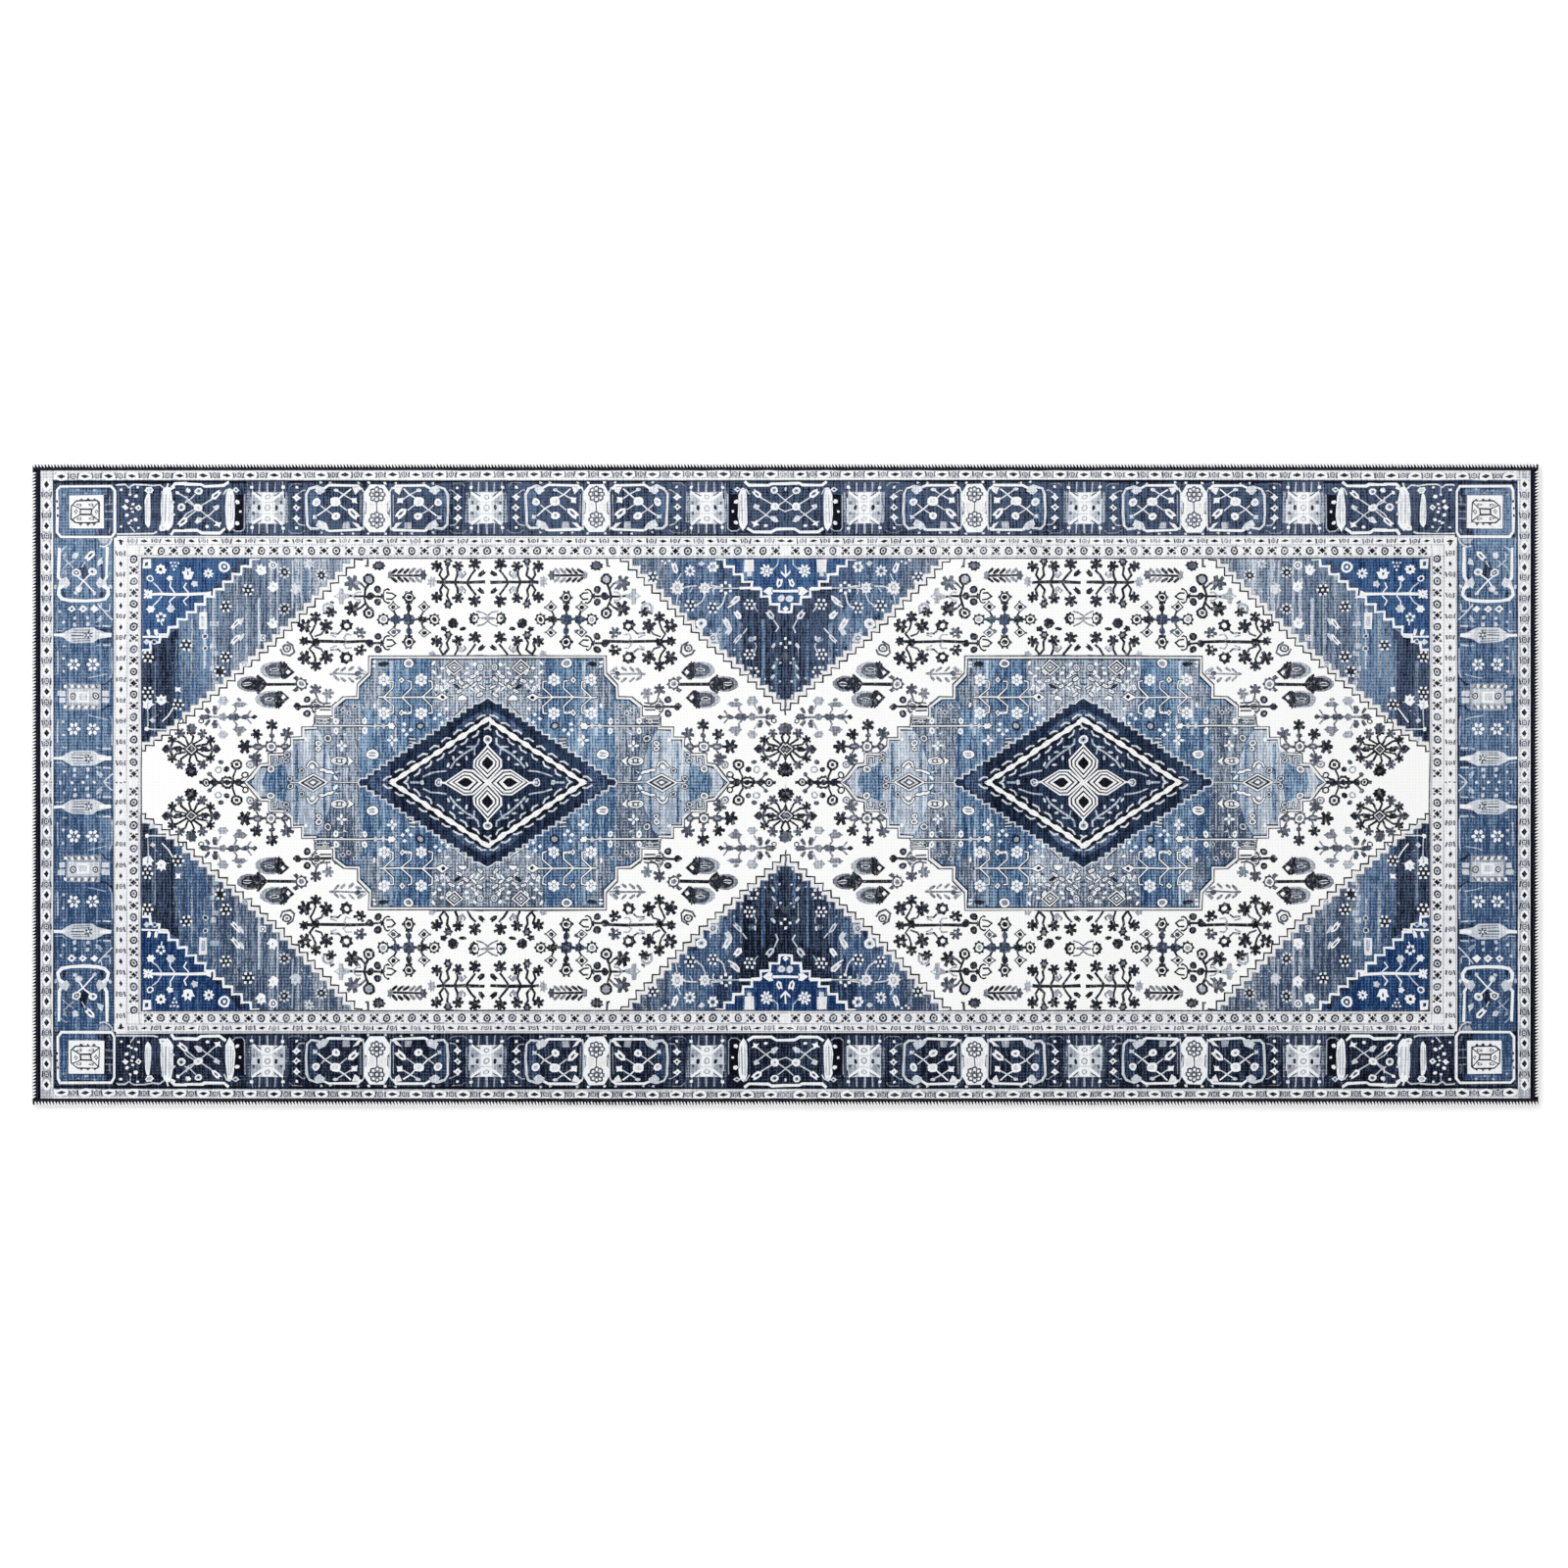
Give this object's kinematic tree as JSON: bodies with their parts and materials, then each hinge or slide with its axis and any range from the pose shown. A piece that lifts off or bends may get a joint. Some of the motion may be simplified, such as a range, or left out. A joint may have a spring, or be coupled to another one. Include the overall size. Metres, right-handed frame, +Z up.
{
  "type": "runner rug",
  "caption": "Flat runner rug with a printed medallion face, felt core, rubber grip backing and overlocked edges, for a hallway or kitchen floor.",
  "frame": {"origin": "on the floor under the middle of the rug, on its underside", "axes": "+X along the rug's length, +Y across its width towards the edge with the care label, +Z up out of the pile"},
  "size_m": [1.83, 0.78, 0.0069],
  "materials": {
    "printed_pile": "short soft pile, printed",
    "felt": "needle-punched felt",
    "grip_rubber": "matt, dotted",
    "overlock_thread": "spun polyester thread",
    "label_satin": "satin ribbon, blank"
  },
  "bodies": {
    "root": {"printed_face": "printed_pile", "felt_layer": "felt", "rubber_grip_sheet": "grip_rubber", "care_label": "label_satin", "front_upper_looper_thread": "overlock_thread", "front_lower_looper_thread": "overlock_thread", "front_needle_thread": "overlock_thread", "back_upper_looper_thread": "overlock_thread", "back_lower_looper_thread": "overlock_thread", "back_needle_thread": "overlock_thread", "left_upper_looper_thread": "overlock_thread", "left_lower_looper_thread": "overlock_thread", "left_needle_thread": "overlock_thread", "right_upper_looper_thread": "overlock_thread", "right_lower_looper_thread": "overlock_thread", "right_needle_thread": "overlock_thread"}
  },
  "joints": []
}
